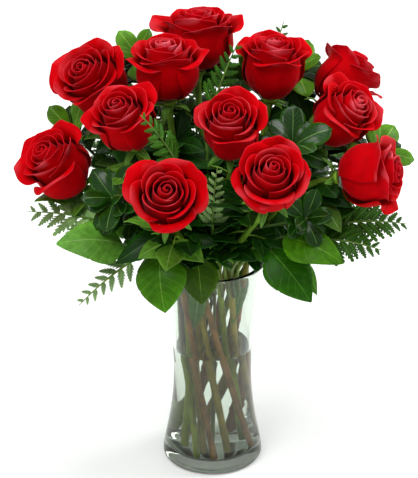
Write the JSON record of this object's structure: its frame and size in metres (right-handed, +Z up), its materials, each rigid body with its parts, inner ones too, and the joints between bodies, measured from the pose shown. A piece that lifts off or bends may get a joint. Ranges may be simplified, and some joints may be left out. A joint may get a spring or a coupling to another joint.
{
  "type": "roses in a vase",
  "caption": "Red roses with fern, pittosporum and lemon leaf, arranged as a round bouquet in a waisted clear glass vase of water.",
  "frame": {"origin": "centre of the vase's foot, on the surface that it stands on", "axes": "+Z up, along the vase's axis; -Y towards the front of the bouquet"},
  "size_m": [0.3533, 0.3154, 0.4088],
  "materials": {
    "clear_glass": "polished",
    "vase_water": "polished",
    "rose_petal": "satin",
    "rose_stem": "satin",
    "fern_leaf": "satin",
    "pittosporum_leaf": "gloss",
    "lemon_leaf": "satin"
  },
  "bodies": {
    "root": {"fern_back": "fern_leaf", "fern_back_left": "fern_leaf", "fern_back_right": "fern_leaf", "fern_back_tall": "fern_leaf", "fern_left": "fern_leaf", "fern_left_low": "fern_leaf", "fern_middle": "fern_leaf", "fern_middle_front": "fern_leaf", "fern_middle_left": "fern_leaf", "fern_right": "fern_leaf", "fern_right_low": "fern_leaf", "lemon_leaf_back": "lemon_leaf", "lemon_leaf_back_left": "lemon_leaf", "lemon_leaf_back_right": "lemon_leaf", "lemon_leaf_front": "lemon_leaf", "lemon_leaf_left": "lemon_leaf", "lemon_leaf_right": "lemon_leaf", "lemon_leaf_right_high": "lemon_leaf", "pittosporum_back": "pittosporum_leaf", "pittosporum_back_left": "pittosporum_leaf", "pittosporum_left": "pittosporum_leaf", "pittosporum_middle_left": "pittosporum_leaf", "pittosporum_middle_right": "pittosporum_leaf", "pittosporum_right": "pittosporum_leaf", "pittosporum_right_low": "pittosporum_leaf", "pittosporum_upper_left": "pittosporum_leaf", "pittosporum_upper_right": "pittosporum_leaf", "rose_back_right_bloom": "rose_petal", "rose_back_right_stem": "rose_stem", "rose_centre_bloom": "rose_petal", "rose_centre_stem": "rose_stem", "rose_far_left_bloom": "rose_petal", "rose_far_left_stem": "rose_stem", "rose_far_right_bloom": "rose_petal", "rose_far_right_stem": "rose_stem", "rose_front_left_bloom": "rose_petal", "rose_front_left_stem": "rose_stem", "rose_front_right_bloom": "rose_petal", "rose_front_right_stem": "rose_stem", "rose_middle_left_bloom": "rose_petal", "rose_middle_left_stem": "rose_stem", "rose_top_bloom": "rose_petal", "rose_top_left_bloom": "rose_petal", "rose_top_left_stem": "rose_stem", "rose_top_right_bloom": "rose_petal", "rose_top_right_stem": "rose_stem", "rose_top_stem": "rose_stem", "rose_upper_left_bloom": "rose_petal", "rose_upper_left_stem": "rose_stem", "rose_upper_right_bloom": "rose_petal", "rose_upper_right_stem": "rose_stem", "vase": "clear_glass", "water": "vase_water"}
  },
  "joints": []
}
